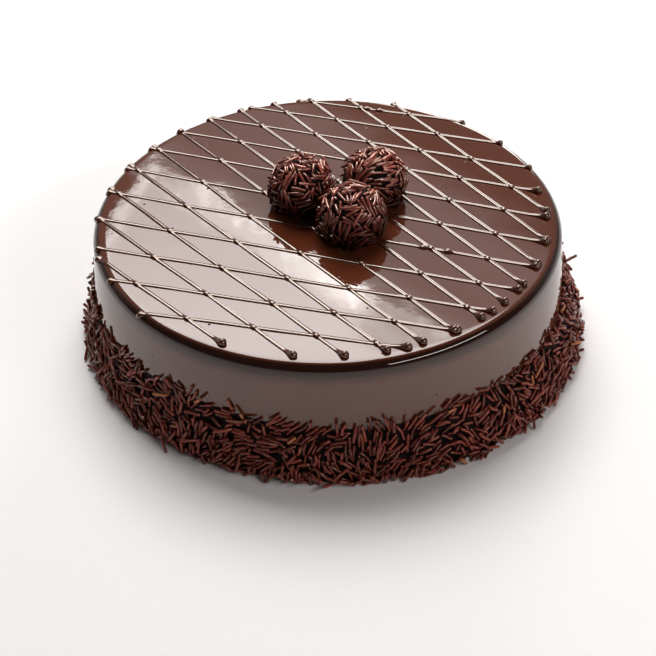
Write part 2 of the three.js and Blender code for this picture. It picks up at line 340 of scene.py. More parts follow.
def glaze_profile():
    """Radius and height, from the middle of the base, round the side, to the middle of the top."""
    base = [(r, 0.0) for r in np.linspace(0, FOOT_RADIUS, 12)]
    side = [(side_radius(z), z) for z in np.linspace(0, SIDE_TOP, 30)[1:]]
    turn = np.linspace(0, math.pi / 2, 13)[1:]
    shoulder = [
        (FLAT_RADIUS + SHOULDER_RADIUS * math.cos(t), SIDE_TOP + SHOULDER_RADIUS * math.sin(t)) for t in turn
    ]
    top = [(r, CAKE_HEIGHT) for r in np.linspace(FLAT_RADIUS, 0, 60)[1:]]
    return base + side + shoulder + top


profile = glaze_profile()
print("profile points:", len(profile))


# %% Trees with named inputs
SOCKETS = {float: "NodeSocketFloat", int: "NodeSocketInt", bpy.types.Material: "NodeSocketMaterial"}


def node_tree(name, sizes):
    """A geometry tree with a named input for each size, and a dict of its inputs' outputs."""
    tree = bpy.data.node_groups.new(name, "GeometryNodeTree")
    tree.interface.new_socket("Geometry", in_out="INPUT", socket_type="NodeSocketGeometry")
    tree.interface.new_socket("Geometry", in_out="OUTPUT", socket_type="NodeSocketGeometry")
    for title, kind in sizes.items():
        tree.interface.new_socket(title, in_out="INPUT", socket_type=SOCKETS[kind])
    entry = tree.nodes.new("NodeGroupInput")
    return tree, {socket.name: socket for socket in entry.outputs if socket.name}


def finish_tree(tree, shape, finish):
    """Every tree ends in Realize Instances and Set Material."""
    real = put(tree, "GeometryNodeRealizeInstances", {"Geometry": shape})
    painted = put(tree, "GeometryNodeSetMaterial", {"Geometry": real, "Material": finish})
    put(tree, "NodeGroupOutput", {"Geometry": painted})


def grow(thing, tree, values):
    """Runs a tree on an object with these named values, and keeps the result as a plain mesh."""
    growth = thing.modifiers.new(tree.name, "NODES")
    growth.node_group = tree
    for item in tree.interface.items_tree:
        if item.in_out == "INPUT" and item.name in values:
            growth[item.identifier] = values[item.name]
    depsgraph = bpy.context.evaluated_depsgraph_get()
    mesh = bpy.data.meshes.new_from_object(thing.evaluated_get(depsgraph))
    thing.modifiers.remove(growth)
    thing.data = mesh
    mesh.name = thing.name
    return measure(thing)


def measure(thing):
    """Prints a piece's faces, box and volume, which is above zero where faces point outwards."""
    mesh = thing.data
    mesh.calc_loop_triangles()
    corners = np.empty(len(mesh.vertices) * 3)
    mesh.vertices.foreach_get("co", corners)
    corners = corners.reshape(-1, 3)
    triangles = np.empty(len(mesh.loop_triangles) * 3, int)
    mesh.loop_triangles.foreach_get("vertices", triangles)
    a, b, c = corners[triangles.reshape(-1, 3)].transpose(1, 0, 2)
    volume = np.einsum("ij,ij->i", a, np.cross(b, c)).sum() / 6
    low, high = corners.min(0) * 1000, corners.max(0) * 1000
    print(f"{thing.name}: {len(a)} triangles, {volume * 1e6:.2f} cm3, from {low.round(1)} to {high.round(1)} mm")
    return thing


# %% [markdown]
# ## The glaze's finish
#
# Under the gloss the chocolate is a deep red-brown with faint clouds. Over the rim its colour
# is darkened to nearly black as painted shade, fading to a little darker lower down the side,
# where a stronger gloss makes it greyer. Small air bubbles leave a few pimples, and ripples of some hundredths of a
# millimetre roughen the edge of a reflection. All of it is read from the object's own coordinates, so it stays on
# the cake.

# %% The glaze's colour and gloss
GLAZE_DARK, GLAZE_LIGHT = (0.090, 0.0225, 0.0095), (0.112, 0.0285, 0.0128)
RIM_STARTS, RIM_ENDS = 62.98 * MM, 62.2 * MM
SIDE_STARTS, SIDE_ENDS = 60 * MM, 51 * MM
RIM_PAINTED_SHADE, SIDE_PAINTED_SHADE = 0.2, 0.95
TOP_SHINE, SIDE_SHINE = 0.45, 0.75


def object_noise(tree, scale, detail=2.0, roughness=0.5):
    """A noise that is fixed to the object, with features of about 1 / scale metres."""
    place = put(tree, "ShaderNodeTexCoord", out="Object")
    return put(tree, "ShaderNodeTexNoise", {
        "Vector": place, "Scale": scale, "Detail": detail, "Roughness": roughness,
    }, out=0)


def blend_colours(tree, amount, first, second):
    """A colour between two, by an amount from 0 to 1."""
    ends = {"Factor": amount, 6: (*first, 1.0), 7: (*second, 1.0)}
    return put(tree, "ShaderNodeMix", ends, out=2, data_type="RGBA")


def shade_colour(tree, colour, shade):
    """A colour made darker or lighter by a number that it is multiplied with."""
    ends = {"Factor": 1.0, 6: colour, 7: shade}
    return put(tree, "ShaderNodeMix", ends, out=2, data_type="RGBA", blend_type="MULTIPLY")


def object_height(tree):
    """The height above the table."""
    return part_of(tree, put(tree, "ShaderNodeTexCoord", out="Object"), "Z")


def glaze_finish():
    """Dark chocolate under a mirror gloss, with painted shade that makes it nearly black over the rim."""
    finish, tree = material("mirror_glaze")
    clouds = object_noise(tree, 22.0, 3.0)
    colour = blend_colours(tree, clouds, GLAZE_DARK, GLAZE_LIGHT)
    height = object_height(tree)
    # Painted shade: the colour is darkened to a fifth over the rim and the top of the side, and only a little lower
    # down the side.
    side = blend(tree, height, SIDE_ENDS, SIDE_STARTS, SIDE_PAINTED_SHADE, RIM_PAINTED_SHADE)
    deep = shade_colour(tree, colour, blend(tree, height, RIM_ENDS, RIM_STARTS, side, 1.0))
    ripples = object_noise(tree, 160.0, 2.0)
    soft = put(tree, "ShaderNodeBump", {"Height": ripples, "Strength": 0.5, "Distance": 0.03 * MM})
    specks = object_noise(tree, 1400.0, 1.0)
    bumps = put(tree, "ShaderNodeBump", {
        "Height": specks, "Strength": 0.25, "Distance": 0.006 * MM, "Normal": soft,
    })
    place = put(tree, "ShaderNodeTexCoord", out="Object")
    bubbles = put(tree, "ShaderNodeTexVoronoi", {"Vector": place, "Scale": 90.0}, out="Distance")
    pimples = put(tree, "ShaderNodeBump", {
        "Height": blend(tree, bubbles, 0.0, 0.07, 1.0, 0.0), "Strength": 1.0, "Distance": 0.4 * MM, "Normal": bumps,
    })
    shader = put(tree, "ShaderNodeBsdfPrincipled", {
        "Base Color": deep, "Roughness": 0.035, "IOR": 1.55, "Normal": pimples,
        "Specular IOR Level": blend(tree, height, SIDE_ENDS, SIDE_STARTS, SIDE_SHINE, TOP_SHINE),
    })
    put(tree, "ShaderNodeOutputMaterial", {"Surface": shader})
    return finish


mirror_glaze = glaze_finish()


# %% Spin the profile
def turning_tree():
    """Spins a profile, given as a chain of points with x as radius, and waves its surface."""
    tree, sizes = node_tree("turned_glaze", {
        "Segments": int, "Points": int, "Wave height": float, "Wave length": float, "Material": bpy.types.Material,
    })
    sheet = put(tree, "GeometryNodeMeshGrid", {
        "Size X": 1.0, "Size Y": 1.0,
        "Vertices X": calc(tree, "ADD", sizes["Segments"], 1.0), "Vertices Y": sizes["Points"],
    }, out="Mesh")
    place = put(tree, "GeometryNodeInputPosition")
    around = calc(tree, "MULTIPLY", part_of(tree, place, "X"), 2 * math.pi)
    along = calc(tree, "ADD", part_of(tree, place, "Y"), 0.5)
    last = calc(tree, "SUBTRACT", sizes["Points"], 1.0)
    step = calc(tree, "ROUND", calc(tree, "MULTIPLY", along, last))
    found = put(tree, "GeometryNodeSampleIndex", {
        "Geometry": sizes["Geometry"], "Value": place, "Index": step,
    }, data_type="FLOAT_VECTOR")
    turned = put(tree, "ShaderNodeVectorRotate", {"Vector": found, "Angle": around}, rotation_type="Z_AXIS")
    spun = put(tree, "GeometryNodeSetPosition", {"Geometry": sheet, "Position": turned})
    closed = put(tree, "GeometryNodeMergeByDistance", {"Geometry": spun, "Distance": 0.01 * MM})
    scale = calc(tree, "DIVIDE", 1.0, sizes["Wave length"])
    noise = put(tree, "ShaderNodeTexNoise", {"Scale": scale, "Detail": 1.5})
    wave = calc(tree, "MULTIPLY", calc(tree, "SUBTRACT", noise, 0.5), sizes["Wave height"])
    outward = put(tree, "GeometryNodeInputNormal")
    push = put(tree, "ShaderNodeVectorMath", {0: outward, "Scale": wave}, operation="SCALE")
    above = put(tree, "FunctionNodeCompare", {"A": part_of(tree, place, "Z"), "B": MM}, operation="GREATER_THAN")
    waved = put(tree, "GeometryNodeSetPosition", {"Geometry": closed, "Selection": above, "Offset": push})
    smooth = put(tree, "GeometryNodeSetShadeSmooth", {"Geometry": waved, "Shade Smooth": True})
    finish_tree(tree, smooth, sizes["Material"])
    return tree


glaze_body = mesh_object(
    "glaze_body",
    [(r, 0.0, z) for r, z in profile],
    [],
    [(i, i + 1) for i in range(len(profile) - 1)],
)
grow(glaze_body, turning_tree(), {
    "Segments": 360, "Points": len(profile), "Wave height": 0.25 * MM, "Wave length": 45 * MM,
    "Material": mirror_glaze,
})
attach(glaze_body, "root")
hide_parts("glazed_cake")

# %% [markdown]
# ## The piped lines
#
# The lines were piped in two goes: first the shallow ones, then the steep ones over them, so
# the steep lines hop over the shallow ones at every crossing. Each line starts in a small
# knot where the nozzle touched down on the far rim, and ends in a drop where it lifted off.
# The lines were aimed by hand, so they fan out a little and crowd towards one side. Their
# places are worked out from a short rule of offsets and angles: drawing each line would be
# closer, but could not be changed by one number.

# %% The rule of the lattice
KNOT_FROM_AXIS = 119.9 * MM
DROP_FROM_AXIS = 114.2 * MM
LATE_DROPS = {8: 118.0 * MM, 9: 117.8 * MM, 10: 119.6 * MM}
STEEP = {
    "count": 12, "middle": -3.7, "spacing": 18.2, "drift": -0.07, "crowding": 0.0,
    "angle": -53.0, "fan": -0.048, "bow": 0.0001,
}
SHALLOW = {
    "count": 11, "middle": 9.7, "spacing": 22.5, "drift": -0.14, "crowding": 0.079,
    "angle": -18.9, "fan": -0.022, "bow": 0.0004,
}


def line_ends(rule, late):
    """The two ends of each line of a family, seen from above, in metres.

    The rule is in millimetres and degrees. A few late lines end nearer the rim than the others.
    """
    ends = []
    for i in range(rule["count"]):
        s = i - (rule["count"] - 1) / 2
        offset = rule["middle"] + rule["spacing"] * s + rule["drift"] * s**2 - rule["crowding"] * s**3
        angle = math.radians(rule["angle"] + rule["fan"] * offset + rule["bow"] * offset**2)
        along = np.array((math.cos(angle), math.sin(angle)))
        nearest = np.array((-along[1], along[0])) * offset * MM
        drop = late.get(i, DROP_FROM_AXIS)
        reach = [math.sqrt(radius**2 - (offset * MM) ** 2) for radius in (KNOT_FROM_AXIS, drop)]
        ends.append((nearest - along * reach[0], nearest + along * reach[1]))
    return ends


steep_ends, shallow_ends = line_ends(STEEP, {}), line_ends(SHALLOW, LATE_DROPS)
print("lines:", len(steep_ends), "steep and", len(shallow_ends), "shallow")

# %% [markdown]
# ## The bead of each line
#
# A piped bead is a flat oval, thickest in its drop, and it swells where the nozzle slowed
# down. So each point of a path carries a radius, how much taller it stands there, and the
# height of its middle, and a tree sweeps an oval along the path by these.

# %% Paths with their widths
LINE_SPACING, END_SPACING, END_REACH = 0.8 * MM, 0.3 * MM, 6 * MM
FIRST_STOPS = np.array([0.04, 0.12, 0.25]) * MM
LINE_RADIUS = 1.08 * MM
KNOT_RADIUS, KNOT_TAPER = 2.3 * MM, 3 * MM
DROP_RADIUS, LATE_DROP, LATE_TAPER = 2.15 * MM, 0.8, 0.4
KNOT_PLUMP, DROP_PLUMP = 0.7, 1.1
HOP_LENGTH, HOP_WIDENS = 1.5 * MM, 0.15
LUMP_LENGTH, LUMP_WIDENS = 1.9 * MM, 0.6
SWAYS, SWAY_EASES = ((0.18 * MM, 21 * MM), (0.1 * MM, 8.3 * MM)), 10 * MM
PULSE, PULSE_LENGTH = 0.06, 4.7 * MM
SHALLOW_LUMPS = [(4, 0.1738), (4, 0.1864), (10, 0.0425), (10, 0.0500)]


def crossing(line, other):
    """How far along a line another line crosses it, or None."""
    start, end = line
    go, across = end - start, other[1] - other[0]
    apart = other[0] - start
    turn = go[0] * across[1] - go[1] * across[0]
    t = (apart[0] * across[1] - apart[1] * across[0]) / turn
    u = (apart[0] * go[1] - apart[1] * go[0]) / turn
    return t * np.linalg.norm(go) if 0 < t < 1 and 0 < u < 1 else None


def end_shape(distance, radius, taper):
    """How round the bead's end is at a distance from it, and how much it swells towards it."""
    cap = math.sqrt(max(0.0, 1 - (1 - min(1.0, distance / radius)) ** 2))
    return cap, max(0.0, 1 - max(0.0, distance - radius) / taper) ** 2


def on_glaze(x, y, stand):
    """A point that stands off the glaze, on the flat top or over its shoulder."""
    r = max(math.hypot(x, y), 1e-9)
    tilt = math.asin(min(1.0, max(0.0, r - FLAT_RADIUS) / SHOULDER_RADIUS))
    spread = 1 + stand * math.sin(tilt) / r
    return x * spread, y * spread, float(top_height(r)) + stand * math.cos(tilt)


def hump(distance, length):
    """One at no distance, falling to nothing over about twice the length."""
    return math.exp(-((distance / length) ** 2))


def carry(thing, name, values):
    """Gives each point of a mesh a number or a vector, which a tree reads by its name."""
    values = np.array(values, float)
    flat = values.ndim == 1
    layer = thing.data.attributes.new(name, "FLOAT" if flat else "FLOAT_VECTOR", "POINT")
    layer.data.foreach_set("value" if flat else "vector", values.ravel())


def piped_family(name, lines, under, hop, taper, thicker, rng):
    """The paths of one family, as one mesh of chains whose points carry their sizes."""
    points, edges, beads, plump = [], [], [], []
    for number, (start, end) in enumerate(lines):
        length = np.linalg.norm(end - start)
        go = (end - start) / length
        side = np.array((-go[1], go[0]))
        stops = np.concatenate([
            FIRST_STOPS, np.arange(0.4 * MM, END_REACH, END_SPACING),
            np.arange(END_REACH, length - END_REACH, LINE_SPACING),
            np.arange(length - END_REACH, length - 0.3 * MM, END_SPACING), length - FIRST_STOPS[::-1],
        ])
        hops = [d for d in (crossing((start, end), other) for other in under) if d is not None]
        late = np.linalg.norm(end) > DROP_FROM_AXIS + MM
        drop_radius = DROP_RADIUS * (LATE_DROP if late else 1.0)
        phase = rng.uniform(0, 6.28, 3)
        first = len(points)
        for d in stops:
            sway = sum(size * math.sin(d / wave + begin) for (size, wave), begin in zip(SWAYS, phase))
            x, y = start + go * d + side * sway * min(1, d / SWAY_EASES, (length - d) / SWAY_EASES)
            cap_a, swell_a = end_shape(d, KNOT_RADIUS, KNOT_TAPER)
            cap_b, swell_b = end_shape(length - d, drop_radius, taper * (LATE_TAPER if late else 1.0))
            lift = sum(hump(d - h, HOP_LENGTH) for h in hops)
            lump = sum(hump(d - at, LUMP_LENGTH) for line, at in thicker if line == number)
            pulse = PULSE * math.sin(d / PULSE_LENGTH + phase[2])
            wide = LINE_RADIUS * (1 + pulse + HOP_WIDENS * lift + LUMP_WIDENS * lump)
            wide += (KNOT_RADIUS - LINE_RADIUS) * swell_a + (drop_radius - LINE_RADIUS) * swell_b
            radius = max(wide * min(cap_a, cap_b), 0.02 * MM)
            points.append(on_glaze(x, y, (0.1 + 0.3 * swell_b) * radius + hop * lift))
            beads.append(radius)
            plump.append(DROP_PLUMP * swell_b + KNOT_PLUMP * swell_a + LUMP_WIDENS * lump)
        edges += [(i, i + 1) for i in range(first, len(points) - 1)]
    chain = mesh_object(name, points, [], edges)
    carry(chain, "bead", beads)
    carry(chain, "plump", plump)
    carry(chain, "middle", [point[2] for point in points])
    return chain


rng = np.random.default_rng(4)
shallow_piping = piped_family("shallow_piping", shallow_ends, [], 0.0, 9 * MM, SHALLOW_LUMPS, rng)
steep_piping = piped_family("steep_piping", steep_ends, shallow_ends, 0.6 * MM, 7 * MM, [], rng)
print("path points:", len(shallow_piping.data.vertices), "shallow and", len(steep_piping.data.vertices), "steep")


# %% The piped chocolate's finish
def piping_finish():
    """A little darker than the glaze, with a brighter, warmer and less sharp gloss."""
    finish, tree = material("piped_chocolate")
    clouds = object_noise(tree, 60.0, 2.0)
    colour = blend_colours(tree, clouds, (0.055, 0.014, 0.006), (0.08, 0.02, 0.009))
    grain = object_noise(tree, 900.0, 2.0)
    bumps = put(tree, "ShaderNodeBump", {"Height": grain, "Strength": 0.12, "Distance": 0.03 * MM})
    shader = put(tree, "ShaderNodeBsdfPrincipled", {
        "Base Color": colour, "Roughness": 0.115, "IOR": 1.85,
        "Specular Tint": (1.0, 0.89, 0.78, 1.0), "Normal": bumps,
    })
    put(tree, "ShaderNodeOutputMaterial", {"Surface": shader})
    return finish


piped_chocolate = piping_finish()


# %% Sweep a bead along every path
def named(tree, name, kind="FLOAT"):
    """What the points carry under a name."""
    return put(tree, "GeometryNodeInputNamedAttribute", {"Name": name}, data_type=kind)


def piping_tree():
    """Sweeps an oval along chains of points, at the radius and the height that each point carries."""
    tree, sizes = node_tree("piped_line", {"Sides": int, "Flatness": float, "Material": bpy.types.Material})
    path = put(tree, "GeometryNodeMeshToCurve", {"Mesh": sizes["Geometry"]})
    upright = put(tree, "GeometryNodeSetCurveNormal", {"Curve": path}, mode="Z_UP")
    ring = put(tree, "GeometryNodeCurvePrimitiveCircle", {"Resolution": sizes["Sides"], "Radius": 1.0})
    ring = put(tree, "GeometryNodeTransform", {
        "Geometry": ring, "Scale": put(tree, "ShaderNodeCombineXYZ", {"X": 1.0, "Y": sizes["Flatness"], "Z": 1.0}),
    })
    swept = put(tree, "GeometryNodeCurveToMesh", {
        "Curve": upright, "Profile Curve": ring, "Scale": named(tree, "bead"), "Fill Caps": True,
    })
    height = part_of(tree, put(tree, "GeometryNodeInputPosition"), "Z")
    off_middle = calc(tree, "SUBTRACT", height, named(tree, "middle"))
    taller = calc(tree, "MULTIPLY", off_middle, named(tree, "plump"))
    swept = put(tree, "GeometryNodeSetPosition", {
        "Geometry": swept, "Offset": put(tree, "ShaderNodeCombineXYZ", {"Z": taller}),
    })
    smooth = put(tree, "GeometryNodeSetShadeSmooth", {"Geometry": swept, "Shade Smooth": True})
    finish_tree(tree, smooth, sizes["Material"])
    return tree


lines_tree = piping_tree()
for piping in (shallow_piping, steep_piping):
    grow(piping, lines_tree, {"Sides": 14, "Flatness": 0.44, "Material": piped_chocolate})
    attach(piping, "root")
    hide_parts("glazed_cake")

# %% [markdown]
# ## The bank of sprinkles round the foot
#
# Sprinkles are short rods of chocolate, pressed on by the handful. They lie on each other in
# two or three layers, most of them flat against the bank, with dark gaps between. Under them
# goes a bank coloured near-black as painted shade for those gaps, a closed ring that shows only there.

# %% The bank under the sprinkles
COLLAR_HEIGHT = 29.5 * MM
COLLAR_WAVE = 3 * MM
COLLAR_RIPPLE = 1.2 * MM
COLLAR_THICKNESS = 4 * MM
COLLAR_SLUMP = 6.5 * MM
SLUMP_AZIMUTH = math.radians(-40)
COAT_DEPTH = 2.4 * MM


def collar_height(azimuth):
    """How high the sprinkles reach up the side."""
    wave = COLLAR_WAVE * np.cos(2 * (azimuth - SLUMP_AZIMUTH))
    return COLLAR_HEIGHT - wave + COLLAR_RIPPLE * np.sin(5 * azimuth)


def bank_radius(azimuth, z):
    """The radius of the bank that the sprinkles lie on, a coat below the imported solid's."""
    s = np.clip(z / collar_height(azimuth), 0, 1)
    slump = COLLAR_SLUMP * ((1 + np.cos(azimuth - SLUMP_AZIMUTH)) / 2) ** 3
    bulge = (COLLAR_THICKNESS + slump) * (1 - s**2) ** 0.75 * (0.85 + 0.15 * np.minimum(1, 4 * s))
    return side_radius(z) + np.maximum(bulge - COAT_DEPTH, 0)


def bank_mesh(name, segments=360, rows=26, inner=4 * MM):
    """The dark bank as a closed ring: its outer face, and an inner face within the glaze."""
    azimuths = np.linspace(0, 2 * math.pi, segments, endpoint=False)
    points = []
    for a in azimuths:
        top = float(collar_height(a)) * 0.97
        heights = np.linspace(0, top, rows)
        outer = [(float(bank_radius(a, z)) + 0.05 * MM, z) for z in heights]
        wall = [(float(side_radius(z)) - inner, z) for z in (top, 0.0)]
        points += [(r * math.cos(a), r * math.sin(a), z) for r, z in outer + wall]
    ring = rows + 2
    faces = []
    for i in range(segments):
        here, there = i * ring, (i + 1) % segments * ring
        for j in range(ring):
            k = (j + 1) % ring
            faces.append((here + j, there + j, there + k, here + k))
    return measure(mesh_object(name, points, faces))


def gap_shade_finish():
    """A near-black colour for what shows in the gaps between sprinkles: painted shade over a chocolate body."""
    finish, tree = material("painted_shade_between_sprinkles")
    grain = object_noise(tree, 500.0, 3.0)
    # Painted shade: a near-black colour that stands for the shadow deep in the gaps.
    colour = blend_colours(tree, grain, (0.002, 0.0007, 0.0005), (0.012, 0.003, 0.002))
    bumps = put(tree, "ShaderNodeBump", {"Height": grain, "Strength": 0.6, "Distance": 0.5 * MM})
    shader = put(tree, "ShaderNodeBsdfPrincipled", {
        "Base Color": colour, "Roughness": 0.7, "Specular IOR Level": 0.15, "Normal": bumps,
    })
    put(tree, "ShaderNodeOutputMaterial", {"Surface": shader})
    return finish


gap_shade_material = gap_shade_finish()
collar_bank = bank_mesh("collar_bank")
collar_bank.data.materials.append(gap_shade_material)
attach(collar_bank, "root")
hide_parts("glazed_cake")

# %% [markdown]
# ## Laying the sprinkles
#
# Rods that simply start at random cut through each other, and a simulation of thousands of
# them takes long. So each is laid in turn: it is lowered on to the ones that already lie
# there, tips over until it rests, and is left out if that would stand it too high. The heap
# remembers every rod as a row of beads, which makes the resting height easy to find.

# %% Lay rods one by one
BEAD_GAP = 1.2 * MM
CELL = 6 * MM


def unit(vector):
    """The same direction, one long."""
    return vector / np.linalg.norm(vector)


class Heap:
    """The rods laid so far, each remembered as a row of beads in a grid of cells."""

    def __init__(self, rod_radius, ground, most_lift):
        self.rod_radius, self.ground, self.most_lift = rod_radius, ground, most_lift
        self.cells, self.rods = {}, []

    def near(self, place):
        """Every bead within about a rod's length of a place."""
        x, y, z = (int(math.floor(v / CELL)) for v in place)
        around = [
            self.cells[x + i, y + j, z + k]
            for i in (-1, 0, 1) for j in (-1, 0, 1) for k in (-1, 0, 1)
            if (x + i, y + j, z + k) in self.cells
        ]
        return np.array([bead for cell in around for bead in cell]).reshape(-1, 3)

    def lay(self, place, out, aim, length, curve, highest, tip=0.0, closeness=0.88):
        """Lowers a rod on to the heap, tipped a little more than it would rest.

        False where it would stand too high, or would have to be lifted too far off the ground.
        """
        across = np.cross(out, aim)
        beads = self.near(place) - place
        along, side, up = beads @ aim, beads @ across, beads @ out
        stations = np.linspace(-0.5, 0.5, 7) * length
        reach = 2 * self.rod_radius * closeness
        gap = (stations[:, None] - along[None, :]) ** 2 + side[None, :] ** 2
        rest = np.full(len(stations), self.rod_radius) - stations**2 * curve / 2
        if len(beads):
            touch = np.where(gap < reach**2, up[None, :] + np.sqrt(np.maximum(reach**2 - gap, 0)), -1.0)
            rest = np.maximum(rest, touch.max(axis=1))
        slopes = np.linspace(-0.6, 0.6, 13)
        stand = (rest[None, :] - slopes[:, None] * stations[None, :]).max(axis=1)
        if stand.min() > highest:
            return False
        slope = slopes[int(stand.argmin())] + tip
        centre = place + out * (rest - slope * stations).max()
        tipped = unit(aim + out * slope)
        below = self.ground + abs(tipped[2]) * length / 2 + self.rod_radius - centre[2]
        if below > self.most_lift:
            return False
        if below > 0:
            centre = centre + np.array((0.0, 0.0, below))
        self.rods.append((centre, tipped, unit(out - tipped * (out @ tipped)), length))
        for t in np.linspace(-0.5, 0.5, max(3, int(length / BEAD_GAP) + 1)):
            bead = centre + tipped * length * t * 0.96
            self.cells.setdefault(tuple(int(math.floor(v / CELL)) for v in bead), []).append(bead)
        return True


def patch_angle(place, seed, width):
    """The way that sprinkles lie near a place: a slow swirl, so that neighbours line up in patches."""
    x, y, z = place / width
    level = 2.6 * math.sin(x + seed) + 2.2 * math.sin(y * 1.3 + 2 * seed)
    return level + 1.9 * math.sin(z * 1.7 + x * 0.6 + 3 * seed)


# %% Sprinkles for the bank
COLLAR_ROD_RADIUS = 0.78 * MM
COLLAR_ROD_LENGTHS = (5 * MM, 9 * MM)
COLLAR_SWIRL, COLLAR_STRAYS = 0.35, 0.35
COLLAR_LAYERS = ((12000, 1.3, 0.0, 0.05), (10000, 3.0, 1.0, 0.15), (7000, 4.6, 2.2, 0.3))


def ragged_height(a, rng):
    """The height of the bank's upper edge, which comes and goes in clumps."""
    clumps = 1.3 * math.sin(17 * a + 0.5) + 1.1 * math.sin(29 * a + 1.9) + 0.9 * math.sin(43 * a + 4.0)
    return float(collar_height(a)) + clumps * MM + rng.normal(0, 1.1 * MM)


def bank_spot(a, z):
    """A point on the bank, the way out of it, and the level and upward ways along it."""
    step = 0.5 * MM
    rise = (float(bank_radius(a, z + step)) - float(bank_radius(a, max(z - step, 0)))) / (step + min(step, z))
    rise = min(max(rise, -1.4), 0.3)
    out = unit(np.array((math.cos(a), math.sin(a), -rise)))
    level = np.array((-math.sin(a), math.cos(a), 0.0))
    r = float(bank_radius(a, z))
    return np.array((r * math.cos(a), r * math.sin(a), z)), out, level, np.cross(out, level)


def cover_bank(heap, rng, tries, highest, thinner, tipping):
    """Lays rods all round the bank, up to so many radii high, and thinner towards its top."""
    laid = 0
    for _ in range(tries):
        a = rng.uniform(0, 2 * math.pi)
        top = ragged_height(a, rng)
        z = rng.uniform(0.3 * MM, top)
        place, out, level, upward = bank_spot(a, z)
        swirl = math.pi / 2 + COLLAR_SWIRL * patch_angle(place, 0.7, 16 * MM) + rng.normal(0, 0.4)
        if rng.random() < COLLAR_STRAYS:
            swirl = rng.uniform(0, math.pi)
        aim = level * math.cos(swirl) + upward * math.sin(swirl)
        length = rng.uniform(*COLLAR_ROD_LENGTHS)
        curve = math.cos(swirl) ** 2 / FOOT_RADIUS
        most = (highest - thinner * (z / top)) * heap.rod_radius
        laid += heap.lay(place, out, aim, length, curve, most, rng.normal(0, tipping))
    return laid


collar_heap = Heap(COLLAR_ROD_RADIUS, 0.0, 6 * MM)
rng = np.random.default_rng(11)
laid = [cover_bank(collar_heap, rng, *layer) for layer in COLLAR_LAYERS]
print("sprinkles laid round the foot:", laid)

# %% [markdown]
# ## The sprinkles themselves
#
# Each sprinkle is a rod with cut ends, some nearly straight and some bent while still warm.
# Most are dark red-brown and a few are paler, so each carries a tone that its colour is read
# from. On the truffles they are glossier. Their colour and gloss are painted darker towards the
# glaze, as shade, and on the truffles painted lighter on top, as light. One tree sweeps them all from points that
# carry the rods' sizes.

# %% The sprinkles' finish
ROD_TONES = (
    (0.0, (0.07, 0.0115, 0.0075)), (0.5, (0.17, 0.029, 0.019)),
    (0.9, (0.30, 0.060, 0.041)), (1.0, (0.40, 0.13, 0.05)),
)
DARKEST_PAINTED_SHADE = 0.15


def sprinkle_finish(name, strength, gloss, shade_painted_below, light_painted_above, lightest_painted):
    """Chocolate rods with a satin gloss, coloured by their tone; painted shade darkens their colour and gloss low
    down, and painted light can brighten them higher up.
    """
    finish, tree = material(name)
    tone = put(tree, "ShaderNodeAttribute", out="Fac", attribute_name="tone")
    ramp = tree.nodes.new("ShaderNodeValToRGB")
    tree.links.new(tone, ramp.inputs[0])
    while len(ramp.color_ramp.elements) < len(ROD_TONES):
        ramp.color_ramp.elements.new(0.5)
    for element, (position, colour) in zip(ramp.color_ramp.elements, ROD_TONES):
        element.position = position
        element.color = (*(strength * c for c in colour), 1.0)
    grain = object_noise(tree, 1100.0, 2.0)
    # Painted shade and light by height: colour and gloss are darkened low down and brightened higher up.
    painted_light_and_shade = blend(tree, object_height(tree), shade_painted_below, light_painted_above, DARKEST_PAINTED_SHADE, lightest_painted)
    mottled = put(tree, "ShaderNodeMapRange", {"Value": grain, "To Min": 0.65, "To Max": 1.3})
    colour = shade_colour(tree, ramp.outputs["Color"], calc(tree, "MULTIPLY", mottled, painted_light_and_shade))
    bumps = put(tree, "ShaderNodeBump", {"Height": grain, "Strength": 0.5, "Distance": 0.12 * MM})
    shader = put(tree, "ShaderNodeBsdfPrincipled", {
        "Base Color": colour, "Roughness": 0.27, "IOR": gloss,
        "Specular IOR Level": calc(tree, "MULTIPLY", painted_light_and_shade, 0.5),
        "Specular Tint": (1.0, 0.78, 0.66, 1.0), "Normal": bumps,
    })
    put(tree, "ShaderNodeOutputMaterial", {"Surface": shader})
    return finish


# Round the foot the painted shade only dims the lowest rods a little; on the truffles it darkens the lower parts
# strongly, and painted light brightens the tops.
sprinkle_chocolate = sprinkle_finish("sprinkle_chocolate", 1.1, 1.6, -20 * MM, 4 * MM, 1.0)
truffle_chocolate = sprinkle_finish("truffle_sprinkle_chocolate", 1.05, 2.0, 64 * MM, 92 * MM, 1.65)


# %% Sweep the sprinkles
def float_curve(tree, factor, points):
    """A value that follows straight steps between points."""
    node = tree.nodes.new("ShaderNodeFloatCurve")
    tree.links.new(factor, node.inputs["Value"])
    curve = node.mapping.curves[0]
    while len(curve.points) < len(points):
        curve.points.new(0.5, 0.5)
    for point, (x, y) in zip(curve.points, points):
        point.location = (x, y)
        point.handle_type = "VECTOR"
    node.mapping.update()
    return node.outputs[0]


